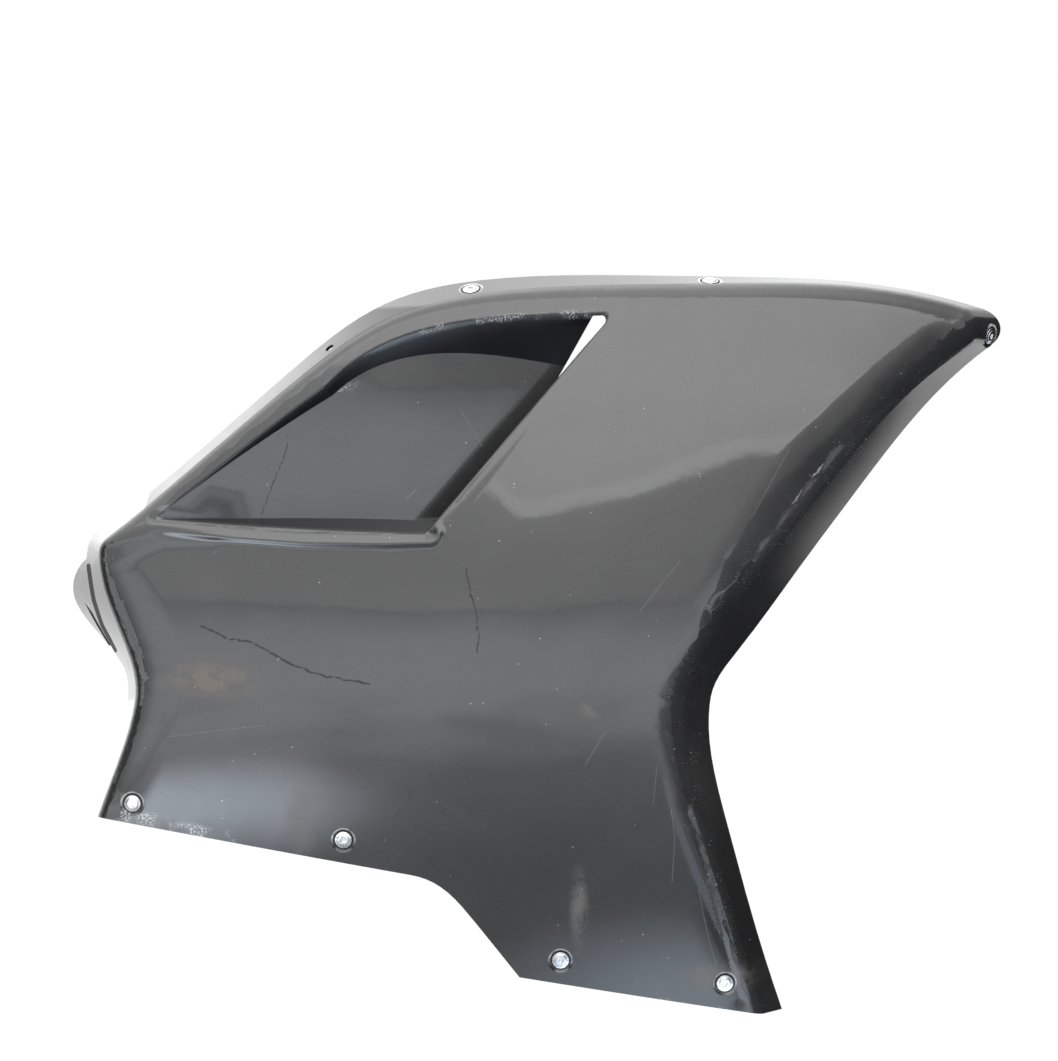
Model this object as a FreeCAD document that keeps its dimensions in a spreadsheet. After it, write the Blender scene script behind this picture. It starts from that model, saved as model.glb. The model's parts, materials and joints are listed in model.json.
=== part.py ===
import FreeCAD, Part
import math
import os

# Right side panel of a motorcycle fairing, in millimetres.
# X runs forward, Y runs inward to the other side of the motorcycle and Z runs up.
# The outer face looks along -Y. The origin lies on the outermost point of its crown.

V = FreeCAD.Vector
doc = FreeCAD.newDocument("fairing_side_panel")
sheet = doc.addObject("Spreadsheet::Sheet", "Sizes")
next_row = 1


def keep(alias, value):
    """Writes one driving dimension to the sheet under its alias."""
    global next_row
    sheet.set("A%d" % next_row, alias)
    sheet.set("B%d" % next_row, str(value))
    sheet.setAlias("B%d" % next_row, alias)
    next_row += 1


def size(alias):
    return float(sheet.get(alias))


# Crown of the outer face: how far it tucks inward at a distance from its crest.
keep("tail_tuck", 20)
keep("nose_tuck", 50)
keep("top_tuck", 20)
keep("foot_tuck", 32)
keep("tail_reach", 310)
keep("nose_reach", 430)
keep("top_reach", 250)
keep("foot_reach", 340)

# Crease where the crown turns into its flanks. Each point has its place, and the
# angle at which the flank leans outward from the Y axis there.
OUTLINE = {
    "upper": [
        ("nose", 443, 225, 17), ("brow", 356, 250, 14), ("crown", 190, 254, 22),
        ("shoulder", 20, 244, 29), ("bend", -58, 226, 30), ("back", -140, 173, 24),
        ("hip", -240, 91, 20), ("tail", -306, 38, 23)],
    "rear": [
        ("tail", -306, 38, 23), ("haunch", -292, -10, 26), ("hollow", -274, -60, 21),
        ("cheek", -274, -86, 20), ("heel", -290, -137, 13), ("heel_end", -325, -240, 5)],
    "bottom": [("heel_end", -325, -240, 5), ("toe_end", 252, -390, 21)],
    "front": [
        ("toe_end", 252, -390, 21), ("ankle", 223, -302, 22), ("calf", 192, -190, 25),
        ("waist", 170, -102, 31), ("rib", 178, -60, 31), ("breast", 212, -5, 34),
        ("collar", 275, 70, 35), ("neck", 366, 167, 31), ("nose", 443, 225, 17)],
}

# Rim of the air outlet, drawn like the outline. Its walls lean inward.
OUTLET = {
    "lead": [("outlet_lead", 190, 232, -47), ("outlet_top", 117, 230, -47)],
    "rail": [("outlet_top", 117, 230, -47), ("outlet_brow", 5, 224, -47),
             ("outlet_rise", -43, 215, -47), ("outlet_bend", -122, 168, -42)],
    "rear_rim": [("outlet_bend", -122, 168, -42), ("outlet_tail", -262, 59, -32)],
    "ridge": [("outlet_tail", -262, 59, -32), ("outlet_sill", -38, 47, -14)],
    "sill": [("outlet_sill", -38, 47, -14), ("outlet_foot", 190, 42, -14)],
    "front": [("outlet_foot", 190, 42, -14), ("outlet_lead", 190, 232, -47)],
}
for table in (OUTLINE, OUTLET):
    for side_points in table.values():
        for point_name, place_x, place_z, lean in side_points[:-1]:
            keep(point_name + "_x", place_x)
            keep(point_name + "_z", place_z)
            keep(point_name + "_lean", lean)

# Moulded wall and the rolls between the crown and the flanks.
keep("wall", 2.5)
keep("nose_roll", 24)
keep("tail_roll", 10)
keep("toe_roll", 12)
keep("nose_corner", 20)
keep("tail_corner", 16)

# Depth of the flanks behind the crease.
keep("front_flank", 45)
keep("rear_flank", 30)
keep("top_flank", 24)

# Bottom edge, which has no flank: a long run, a concave sweep and the toe.
keep("heel_edge_x", -308)
keep("heel_edge_z", -188)
keep("hock_x", -50)
keep("hock_z", -234)
keep("sweep_x", -2)
keep("sweep_z", -268)
keep("notch_x", 39)
keep("notch_z", -320)
keep("toe_x", 258)
keep("toe_z", -357)

# Tab on the rear flank and its blind slot.
keep("tab_top", 26)
keep("tab_foot", -91)
keep("tab_depth", 60)
keep("tab_shoulder", 0.82)
keep("tab_upper", 0.89)
keep("tab_peak", 0.72)
keep("tab_lower", 0.43)
keep("slot_length", 72)
keep("slot_width", 6)
keep("slot_sink", 1.2)
keep("slot_z", -27)
keep("slot_depth", 46)

# Air outlet.
keep("outlet_depth", 45)
keep("lip_return", 10)
keep("mouth_roll", 2.5)
keep("sill_corner", 8)
keep("top_corner", 4)
keep("floor_front_x", 72)
keep("floor_front_z", 179)
keep("floor_front_turn", 30)

# Quarter turn fasteners in dished seats.
keep("head_radius", 7)
keep("head_rim", 1.1)
keep("boss_radius", 4.1)
keep("boss_height", 2.6)
keep("socket_width", 4)
keep("socket_depth", 1.8)
keep("shank_radius", 3)
keep("shank_length", 13)
keep("hole_clearance", 0.08)
keep("seat_gap", 0.05)
keep("dish_radius", 10.5)
keep("flank_dish_radius", 9)
keep("flank_dish_sink", 0.8)
keep("flank_reach", 4)
keep("flank_seat_depth", 17)
keep("stud_heel_x", -281)
keep("stud_heel_z", -176)
keep("stud_hock_x", -106)
keep("stud_hock_z", -205)
keep("stud_notch_x", 73)
keep("stud_notch_z", -306)
keep("stud_toe_x", 210)
keep("stud_toe_z", -327)
keep("stud_shoulder_x", -1)
keep("stud_crown_x", 198)
keep("nose_stud_drop", 12)
keep("nose_stud_depth", 22)
keep("spare_hole_x", -116)
keep("spare_hole_z", 198)
keep("spare_hole_radius", 4)
keep("dish_sink", 1.6)
keep("dish_slope", 2)
keep("seat_wall", 2)
keep("washer_radius", 5.5)
keep("washer_thickness", 1)
keep("washer_gap", 0.3)
keep("groove_radius", 2.5)
doc.recompute()


def bend(low_reach, low_tuck, high, high_tuck):
    """Square and cube factors of a curve that is level at the crest and tucks as given."""
    low = -low_reach
    spread = low ** 2 * high ** 3 - high ** 2 * low ** 3
    square = (low_tuck * high ** 3 - high_tuck * low ** 3) / spread
    cube = (low ** 2 * high_tuck - high ** 2 * low_tuck) / spread
    return square, cube


LENGTH_BEND = bend(size("tail_reach"), size("tail_tuck"), size("nose_reach"), size("nose_tuck"))
HEIGHT_BEND = bend(size("foot_reach"), size("foot_tuck"), size("top_reach"), size("top_tuck"))


def rise(bend_factors, distance):
    square, cube = bend_factors
    return square * distance ** 2 + cube * distance ** 3


def slant(bend_factors, distance):
    square, cube = bend_factors
    return 2 * square * distance + 3 * cube * distance ** 2


def crown_depth(x, z):
    return rise(LENGTH_BEND, x) + rise(HEIGHT_BEND, z)


# The crown is drawn a little past the outline, so that every cut runs right through.
DRAW_MARGIN = 60
LOW_X = size("tail_x") - DRAW_MARGIN
HIGH_X = size("nose_x") + DRAW_MARGIN
LOW_Z = size("toe_end_z") - DRAW_MARGIN
HIGH_Z = size("crown_z") + DRAW_MARGIN
FRONT_PLANE = -DRAW_MARGIN / 2
BACK_PLANE = size("nose_tuck") + size("foot_tuck") + size("front_flank") + DRAW_MARGIN / 3


def cubic_ordinates(curve_rise, curve_slant, low, high):
    """The four Bezier ordinates of a cubic between two ends."""
    third = (high - low) / 3
    return [curve_rise(low), curve_rise(low) + third * curve_slant(low),
            curve_rise(high) - third * curve_slant(high), curve_rise(high)]


def crown_surface(extra):
    """The crown moved inward by extra(column, row), given at its four by four poles."""
    along = cubic_ordinates(lambda x: rise(LENGTH_BEND, x),
                            lambda x: slant(LENGTH_BEND, x), LOW_X, HIGH_X)
    up = cubic_ordinates(lambda z: rise(HEIGHT_BEND, z),
                         lambda z: slant(HEIGHT_BEND, z), LOW_Z, HIGH_Z)
    surface = Part.BezierSurface()
    surface.increase(3, 3)
    for column in range(4):
        for row in range(4):
            x = LOW_X + (HIGH_X - LOW_X) * column / 3
            z = LOW_Z + (HIGH_Z - LOW_Z) * row / 3
            surface.setPole(column + 1, row + 1, V(x, along[column] + up[row] + extra(x, z, row), z))
    return surface


def behind(surface):
    """All the space behind a crown surface."""
    return surface.toShape().extrude(V(0, BACK_PLANE + 3 * DRAW_MARGIN, 0))


def even(depth):
    return lambda x, z, row: depth


def outline_point(name, table):
    for side_points in table.values():
        for point_name, x, z, lean in side_points:
            if point_name == name:
                return V(size(name + "_x"), 0, size(name + "_z")), size(name + "_lean")


def side_curve(points, start=None):
    """A smooth curve through the points, with a set direction at its start where wanted."""
    if len(points) == 2:
        return Part.LineSegment(points[0], points[1])
    curve = Part.BSplineCurve()
    if start is None:
        curve.interpolate(points)
    else:
        curve.interpolate(Points=points, InitialTangent=start,
                          FinalTangent=points[-1] - points[-2])
    return curve


def outward(curve, point):
    """Unit normal of a side in the X Z plane, pointing out of a loop that runs anticlockwise."""
    direction = curve.tangent(curve.parameter(point))[0]
    return V(direction.z, 0, -direction.x).normalize()


def mitre(first, first_shift, second, second_shift):
    """The move of a corner that shifts its two sides by their own amounts."""
    cross = first.x * second.z - first.z * second.x
    return V((first_shift * second.z - second_shift * first.z) / cross, 0,
             (first.x * second_shift - second.x * first_shift) / cross)


def loop(table, plane_y, wall, open_sides):
    """The outline where leaning sides cut a plane, drawn in by the wall."""
    sides = []
    for side_name, side_points in table.items():
        found = [outline_point(point[0], table) for point in side_points]
        places = [place for place, lean in found]
        leans = [math.radians(lean) for place, lean in found]
        sides.append((side_name, side_curve(places), places, leans))

    def shift(side, index):
        name, curve, places, leans = side
        if name in open_sides:
            return DRAW_MARGIN / 2 if wall > 0 else 0.0
        depth = plane_y - crown_depth(places[index].x, places[index].z)
        return depth * math.tan(leans[index]) - wall / math.cos(leans[index])

    edges = []
    for number, side in enumerate(sides):
        name, curve, places, leans = side
        before = sides[number - 1]
        after = sides[(number + 1) % len(sides)]
        moved = []
        for index, place in enumerate(places):
            normal = outward(curve, place)
            if index == 0:
                move = mitre(normal, shift(side, 0), outward(before[1], place), shift(before, -1))
            elif index == len(places) - 1:
                move = mitre(normal, shift(side, -1), outward(after[1], place), shift(after, 0))
            else:
                move = normal * shift(side, index)
            moved.append(place + move + V(0, plane_y, 0))
        edges.append(side_curve(moved).toShape())
    return Part.Wire(edges)


def prism(table, front_y, back_y, wall, open_sides=()):
    return Part.makeLoft([loop(table, front_y, wall, open_sides),
                          loop(table, back_y, wall, open_sides)], True, True)


def corner_edge(solid, place):
    """The long edge of a prism that passes a corner of its outline."""
    middle = V(place.x, (FRONT_PLANE + BACK_PLANE) / 2, place.z)
    long_edges = [edge for edge in solid.Edges
                  if abs(edge.Vertexes[0].Y - edge.Vertexes[-1].Y) > BACK_PLANE / 2]
    return min(long_edges, key=lambda edge: edge.distToShape(Part.Vertex(middle))[0])


def document_shape(name, shape):
    feature = doc.addObject("Part::Feature", name)
    feature.Shape = shape
    return feature


def is_crease(edge, wall):
    """True where an edge runs along the crown and not along the open bottom."""
    ends = [edge.valueAt(edge.FirstParameter), edge.valueAt(edge.LastParameter)]
    middle = edge.valueAt((edge.FirstParameter + edge.LastParameter) / 2)
    on_crown = all(abs(p.y - crown_depth(p.x, p.z) - wall) < 0.3 for p in ends + [middle])
    low_end = outline_point("heel_end", OUTLINE)[0].z
    return on_crown and not max(ends[0].z, ends[1].z) < low_end + 1


def roll_radius(point):
    """The roll at one end of a crease edge."""
    corners = {"nose": "nose_roll", "tail": "tail_roll", "heel_end": "tail_roll",
               "toe_end": "toe_roll"}

    def away(name):
        place = outline_point(name, OUTLINE)[0]
        return math.hypot(point.x - place.x, point.z - place.z)
    return size(corners[min(corners, key=away)])


def rounded_body(name, wall):
    """The panel as a full body, with its flanks, drawn in by the wall all round."""
    sides = prism(OUTLINE, FRONT_PLANE, BACK_PLANE, wall, open_sides=("bottom",))
    for corner, radius in (("nose", "nose_corner"), ("tail", "tail_corner")):
        edge = corner_edge(sides, outline_point(corner, OUTLINE)[0])
        sides = sides.makeFillet(size(radius) - wall, [edge])
    body = doc.addObject("Part::Common", name + "_body")
    body.Base = document_shape(name + "_crown", behind(crown_surface(even(wall))))
    body.Tool = document_shape(name + "_sides", sides)
    doc.recompute()
    rolled = doc.addObject("Part::Fillet", name + "_rolled")
    rolled.Base = body
    rolls = []
    for number, edge in enumerate(body.Shape.Edges, start=1):
        if is_crease(edge, wall):
            start = roll_radius(edge.valueAt(edge.FirstParameter)) - wall
            end = roll_radius(edge.valueAt(edge.LastParameter)) - wall
            rolls.append((number, start, end))
    rolled.Edges = rolls
    doc.recompute()
    return rolled


outer = rounded_body("outer", 0.0)
inner = rounded_body("inner", size("wall"))


def flat_cut(points):
    """A block with straight sides that runs right through the panel along Y."""
    edges = []
    for start, end in zip(points, points[1:] + points[:1]):
        edges.append(Part.makeLine(start, end))
    return Part.Face(Part.Wire(edges)).extrude(V(0, BACK_PLANE + 3 * DRAW_MARGIN, 0))


def back_trim():
    """What lies behind the flanks, which get shallower towards the top."""
    front, rear = size("front_flank"), size("rear_flank")
    grow = (front - rear) / (size("waist_x") - size("tail_x"))

    def flank_depth(x, z, row):
        if row == 3:
            return size("top_flank")
        return rear + grow * (x - size("tail_x"))
    return behind(crown_surface(flank_depth))


def rear_tab():
    """A rounded tab that stays on the rear flank, seen along X."""
    root = crown_depth(size("tail_x"), size("tail_z"))

    def rim_point(depth_share, height_share):
        height = size("tab_foot") + height_share * (size("tab_top") - size("tab_foot"))
        return V(LOW_X, root + depth_share * size("tab_depth"), height)

    shoulder = size("tab_shoulder")
    top, foot = rim_point(0, 1), rim_point(0, 0)
    rim = side_curve([top, rim_point(shoulder, size("tab_upper")), rim_point(1, size("tab_peak")),
                      rim_point(shoulder, size("tab_lower")), foot])
    profile = Part.Face(Part.Wire([rim.toShape(), Part.makeLine(foot, top)]))
    return profile.extrude(V(2 * DRAW_MARGIN + size("wall"), 0, 0))


def bottom_trim():
    """Everything below the bottom edge."""
    heel = V(size("heel_edge_x"), FRONT_PLANE, size("heel_edge_z"))
    hock = V(size("hock_x"), FRONT_PLANE, size("hock_z"))
    sweep = V(size("sweep_x"), FRONT_PLANE, size("sweep_z"))
    notch = V(size("notch_x"), FRONT_PLANE, size("notch_z"))
    toe = V(size("toe_x"), FRONT_PLANE, size("toe_z"))
    heel_out = heel + (heel - hock).normalize() * 2 * DRAW_MARGIN
    toe_out = toe + (toe - notch).normalize() * 2 * DRAW_MARGIN
    low = LOW_Z - 2 * DRAW_MARGIN
    curve = side_curve([hock, sweep, notch], start=hock - heel)
    edges = [Part.makeLine(heel_out, hock), curve.toShape(), Part.makeLine(notch, toe_out),
             Part.makeLine(toe_out, V(toe_out.x, FRONT_PLANE, low)),
             Part.makeLine(V(toe_out.x, FRONT_PLANE, low), V(heel_out.x, FRONT_PLANE, low)),
             Part.makeLine(V(heel_out.x, FRONT_PLANE, low), heel_out)]
    return Part.Face(Part.Wire(edges)).extrude(V(0, BACK_PLANE + 3 * DRAW_MARGIN, 0))


OUTLET_BACK = (crown_depth(size("outlet_top_x"), size("outlet_top_z")) + size("outlet_depth")
               + DRAW_MARGIN / 5)
LIP_START = V(size("outlet_sill_x"), 0, size("outlet_sill_z"))
LIP_END = V(size("outlet_top_x"), 0, size("outlet_top_z"))
LIP_ALONG = (LIP_END - LIP_START).normalize()
LIP_AHEAD = V(LIP_ALONG.z, 0, -LIP_ALONG.x)


def ahead_of(place, along, reach=HIGH_X - LOW_X):
    """The space ahead of an upright plane through a place, or a slab of it."""
    ahead = V(along.z, 0, -along.x) * reach
    start = V(place.x, FRONT_PLANE, place.z) - along * (HIGH_X - LOW_X)
    end = V(place.x, FRONT_PLANE, place.z) + along * (HIGH_X - LOW_X)
    return flat_cut([start, end, end + ahead, start + ahead])


def floor_depth(extra):
    """The outlet floor leaves the crown at the tail and sinks steadily towards the lip."""
    tail = V(size("outlet_tail_x"), 0, size("outlet_tail_z"))
    run = -(tail - LIP_START).dot(LIP_AHEAD)

    def depth(x, z, row):
        back = -(V(x, 0, z) - LIP_START).dot(LIP_AHEAD)
        return size("outlet_depth") * (1 - back / run) + extra
    return depth


def outlet_space(wall):
    """The hollow of the outlet down to its floor, or the same grown by a wall."""
    space = prism(OUTLET, FRONT_PLANE, OUTLET_BACK, -wall)
    return space.cut(behind(crown_surface(floor_depth(wall))))


def upright_edge(solid, place):
    """The edge of a solid that runs nearest to a place of the outline."""
    middle = V(place.x, crown_depth(place.x, place.z), place.z)
    upright = [edge for edge in solid.Edges
               if abs(edge.Vertexes[0].Y - edge.Vertexes[-1].Y) > size("outlet_depth")]
    return min(upright, key=lambda edge: edge.distToShape(Part.Vertex(middle))[0])


def outlet_pieces():
    """What the outlet adds to the skin, and the air that it takes out."""
    wall = size("wall")
    hollow = outlet_space(0.0)
    grown = outlet_space(wall)
    turn = math.radians(size("floor_front_turn"))
    floor_end = ahead_of(V(size("floor_front_x"), 0, size("floor_front_z")),
                         V(math.sin(turn), 0, math.cos(turn)))
    lip_side = ahead_of(LIP_START, LIP_ALONG)
    mouth = hollow.cut(lip_side)
    for place, radius in ((LIP_START, "sill_corner"), (LIP_END, "top_corner")):
        mouth = mouth.makeFillet(size(radius), [upright_edge(mouth, place)])
    lip = grown.common(ahead_of(LIP_START, LIP_ALONG, wall)).common(outer.Shape)
    lip = lip.cut(behind(crown_surface(even(size("lip_return")))))
    under = hollow.common(lip_side).common(behind(crown_surface(even(wall)))).cut(lip)
    tray = grown.common(outer.Shape).cut(floor_end)
    return [tray, lip], [mouth, under]


class Seat:
    """Where a fastener sits: a point of the outer face and its outward normal."""

    def __init__(self, name, point, normal, radius, sink):
        self.name = name
        self.point = point
        self.normal = normal
        self.radius = radius
        self.sink = sink

    def placement(self, height=0.0):
        turn = FreeCAD.Rotation(V(0, 0, 1), self.normal)
        return FreeCAD.Placement(self.point + self.normal * height, turn)

    def put(self, shape, height):
        shape.Placement = self.placement(height)
        return shape


def crown_seat(name, x, z):
    along = slant(LENGTH_BEND, x)
    up = slant(HEIGHT_BEND, z)
    normal = V(along, -1, up).normalize()
    return Seat(name, V(x, crown_depth(x, z), z), normal, size("dish_radius"), size("dish_sink"))


def flank_seat(name, x, z, depth, radius, sink):
    """The place on a flank that lies nearest to a point this far behind the crown."""
    sides = doc.getObject("outer_sides").Shape
    target = Part.Vertex(V(x, crown_depth(x, z) + depth, z))
    face = min(sides.Faces, key=lambda one: one.distToShape(target)[0])
    point = face.distToShape(target)[1][0][0]
    normal = face.normalAt(*face.Surface.parameter(point))
    return Seat(name, point, normal, size(radius), size(sink))


SEATS = [
    crown_seat("heel", size("stud_heel_x"), size("stud_heel_z")),
    crown_seat("hock", size("stud_hock_x"), size("stud_hock_z")),
    crown_seat("notch", size("stud_notch_x"), size("stud_notch_z")),
    crown_seat("toe", size("stud_toe_x"), size("stud_toe_z")),
    flank_seat("shoulder", size("stud_shoulder_x"), size("shoulder_z") + size("flank_reach"),
               size("flank_seat_depth"), "flank_dish_radius", "flank_dish_sink"),
    flank_seat("crown", size("stud_crown_x"), size("crown_z") + size("flank_reach"),
               size("flank_seat_depth"), "flank_dish_radius", "flank_dish_sink"),
    flank_seat("nose", size("nose_x"), size("nose_z") - size("nose_stud_drop"),
               size("nose_stud_depth"), "dish_radius", "dish_sink"),
]
SPARE_HOLE = flank_seat("spare", size("spare_hole_x"), size("spare_hole_z"),
                        size("flank_seat_depth"), "spare_hole_radius", "flank_dish_sink")


# Tools that cut a seat reach this far past the face.
OVER = 12.0


def dished(shape):
    """The shape with a backed dish and a hole at every seat, and the spare hole."""
    adds = []
    cuts = []
    for seat in SEATS:
        floor = seat.radius - size("dish_slope")
        backing = Part.makeCylinder(seat.radius, seat.sink + size("seat_wall") - size("wall") / 2)
        adds.append(seat.put(backing, -seat.sink - size("seat_wall")))
        steep = (seat.radius - floor) / seat.sink
        dish = Part.makeCone(floor, seat.radius + steep * OVER / 3, seat.sink + OVER / 3)
        cuts.append(seat.put(dish, -seat.sink))
        hole = Part.makeCylinder(size("shank_radius") + size("hole_clearance"), 2 * OVER)
        cuts.append(seat.put(hole, -OVER))
    spare = Part.makeCylinder(size("spare_hole_radius"), 2 * OVER)
    cuts.append(SPARE_HOLE.put(spare, -OVER))
    return shape.fuse(adds).cut(cuts)


def rolled_mouth(body, mouth):
    """The full body with a rolled edge where its crown meets the mouth of the outlet."""
    rim = []
    for edge in body.Edges:
        ends = [edge.valueAt(edge.FirstParameter), edge.valueAt(edge.LastParameter)]
        points = ends + [edge.valueAt((edge.FirstParameter + edge.LastParameter) / 2)]
        on_crown = all(abs(p.y - crown_depth(p.x, p.z)) < 0.2 for p in points)
        if on_crown and all(mouth.distToShape(Part.Vertex(p))[0] < 0.01 for p in points):
            rim.append(edge)
    return body.makeFillet(size("mouth_roll"), rim)


def tab_slot():
    """The long shallow slot in the outer face of the rear tab."""
    seat = flank_seat("slot", size("tail_x"), size("slot_z"), size("slot_depth"),
                      "slot_width", "slot_sink")
    half = (size("slot_length") - size("slot_width")) / 2
    wide = size("slot_width") / 2
    ends = [Part.makeCylinder(wide, OVER, V(0, side * half, 0)) for side in (-1, 1)]
    block = Part.makeBox(2 * wide, 2 * half, OVER, V(-wide, -half, 0))
    slot = block.fuse(ends).removeSplitter()
    up = seat.normal.cross(V(0, 1, 0)).normalize()
    if up.z < 0:
        up = -up
    side = up.cross(seat.normal)
    frame = FreeCAD.Placement(seat.point - seat.normal * seat.sink,
                              FreeCAD.Rotation(side, up, seat.normal, "ZXY"))
    slot.Placement = frame
    return slot


def side_panel():
    """The full body less its core, with only the skin, the tray and the lip left."""
    (tray, lip), (mouth, under) = outlet_pieces()
    body = rolled_mouth(outer.Shape.cut(mouth), mouth)
    core = inner.Shape.cut([tray, lip])
    trim = back_trim().cut([rear_tab(), tray])
    whole = body.cut([core, under, trim])
    whole = dished(whole)
    return whole.cut([bottom_trim(), tab_slot()])


ROUND_SIDES = 24
GROOVE_FOOT = "-Sizes.seat_wall - Sizes.washer_gap - Sizes.washer_thickness"


def bound(kind, name, **expressions):
    """A document object whose properties follow the sheet."""
    item = doc.addObject(kind, name)
    for name_of, expression in expressions.items():
        item.setExpression(name_of.replace("base_z", "Placement.Base.z"), expression)
    return item


def disc(name, radius, **places):
    """A round plate drawn as a prism with many sides."""
    plate = bound("Part::Prism", name, Circumradius=radius, **places)
    plate.Polygon = ROUND_SIDES
    return plate


def stud(name, placement):
    """A captive quarter turn stud. Its frame has Z outward and lies on its seat."""
    gap = "Sizes.seat_gap"
    rim = disc(name + "_rim", "Sizes.head_radius", Height="Sizes.head_rim", base_z=gap)
    boss = disc(name + "_boss", "Sizes.boss_radius", Height="Sizes.boss_height", base_z=gap)
    shank = bound("Part::Cylinder", name + "_shank", Radius="Sizes.shank_radius",
                  Height="Sizes.shank_length + " + gap, base_z="-Sizes.shank_length")
    solid = doc.addObject("Part::MultiFuse", name + "_blank")
    solid.Shapes = [rim, boss, shank]
    socket = bound("Part::Prism", name + "_socket", Circumradius="Sizes.socket_width / sqrt(3)",
                   Height="2 * Sizes.socket_depth",
                   base_z=gap + " + Sizes.boss_height - Sizes.socket_depth")
    socket.Polygon = 6
    ring_out = disc(name + "_ring_out", "Sizes.washer_radius", Height="Sizes.washer_thickness",
                    base_z=GROOVE_FOOT)
    ring_in = bound("Part::Cylinder", name + "_ring_in", Radius="Sizes.groove_radius",
                    Height="Sizes.washer_thickness", base_z=GROOVE_FOOT)
    groove = doc.addObject("Part::Cut", name + "_groove")
    groove.Base = ring_out
    groove.Tool = ring_in
    tools = doc.addObject("Part::MultiFuse", name + "_cuts")
    tools.Shapes = [socket, groove]
    done = doc.addObject("Part::Cut", name)
    done.Base = solid
    done.Tool = tools
    done.Placement = placement
    done.Label = name
    return done


def washer(name, placement):
    """A retaining washer that sits in the groove of a stud."""
    plate = disc(name + "_plate", "Sizes.washer_radius", Height="Sizes.washer_thickness",
                 base_z=GROOVE_FOOT)
    eye = disc(name + "_eye", "Sizes.groove_radius / cos(180 / %d)" % ROUND_SIDES,
               Height="Sizes.washer_thickness", base_z=GROOVE_FOOT)
    done = doc.addObject("Part::Cut", name)
    done.Base = plate
    done.Tool = eye
    done.Placement = placement
    done.Label = name
    return done


panel = document_shape("side_panel", side_panel())
nodes = [panel]
for seat in SEATS:
    nodes.append(stud("stud_" + seat.name, seat.placement(-seat.sink)))
    nodes.append(washer("washer_" + seat.name, seat.placement(-seat.sink)))
doc.recompute()

for item in doc.Objects:
    if "Invalid" in item.State or "Error" in item.State:
        raise RuntimeError("The object %s failed" % item.Name)
for node in nodes:
    if node.Shape.isNull() or not node.Shape.isValid():
        raise RuntimeError("The shape of %s is not valid" % node.Label)

os.makedirs("parts", exist_ok=True)
for node in nodes:
    node.Shape.exportStep("parts/%s.step" % node.Label)
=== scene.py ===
import json
import math

import bmesh
import bpy
import numpy as np
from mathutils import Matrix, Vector


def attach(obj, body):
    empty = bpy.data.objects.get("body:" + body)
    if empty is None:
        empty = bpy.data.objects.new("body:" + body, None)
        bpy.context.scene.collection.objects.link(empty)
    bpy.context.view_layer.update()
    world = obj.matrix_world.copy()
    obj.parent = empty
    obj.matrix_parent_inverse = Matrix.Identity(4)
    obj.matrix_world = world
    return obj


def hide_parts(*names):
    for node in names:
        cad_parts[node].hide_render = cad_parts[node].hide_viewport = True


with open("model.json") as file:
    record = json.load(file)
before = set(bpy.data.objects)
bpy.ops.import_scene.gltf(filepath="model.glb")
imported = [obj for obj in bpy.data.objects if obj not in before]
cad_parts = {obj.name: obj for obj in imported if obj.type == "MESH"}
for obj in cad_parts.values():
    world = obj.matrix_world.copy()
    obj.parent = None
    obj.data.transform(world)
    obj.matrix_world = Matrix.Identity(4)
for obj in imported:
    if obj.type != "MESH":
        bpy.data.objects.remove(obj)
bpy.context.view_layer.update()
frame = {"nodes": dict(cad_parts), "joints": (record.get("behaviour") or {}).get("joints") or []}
nodes = frame["nodes"]
scene = bpy.context.scene


# Crown of the outer face, in metres: square and cube factors along X and along Z

def bend(low_reach, low_tuck, high, high_tuck):
    """Factors of the curve that sinks by the given tucks at its low and its high end."""
    low = -low_reach
    spread = low ** 2 * high ** 3 - high ** 2 * low ** 3
    return ((low_tuck * high ** 3 - high_tuck * low ** 3) / spread,
            (low ** 2 * high_tuck - high ** 2 * low_tuck) / spread)


LENGTH_BEND = bend(0.310, 0.020, 0.430, 0.050)
HEIGHT_BEND = bend(0.340, 0.032, 0.250, 0.020)
WALL = 0.0025


def rise(factors, t):
    return factors[0] * t ** 2 + factors[1] * t ** 3


def slant(factors, t):
    return 2 * factors[0] * t + 3 * factors[1] * t ** 2


def crown(x, z):
    return rise(LENGTH_BEND, x) + rise(HEIGHT_BEND, z)


# Camera, set from the size and place of the panel in the photograph

CAMERA_PLACE = (0.04688, -2.417, 0.04979)
CAMERA_LENS = 100.3


def photo_camera():
    camera = bpy.data.objects.new("camera", bpy.data.cameras.new("camera"))
    scene.collection.objects.link(camera)
    camera.location = CAMERA_PLACE
    camera.rotation_euler = (math.radians(90), 0, 0)
    camera.data.sensor_width = 36.0
    camera.data.lens = CAMERA_LENS
    camera.data.clip_start = 0.05
    camera.data.clip_end = 50
    scene.camera = camera


photo_camera()
scene.view_settings.view_transform = "Standard"


# Node helpers

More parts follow.
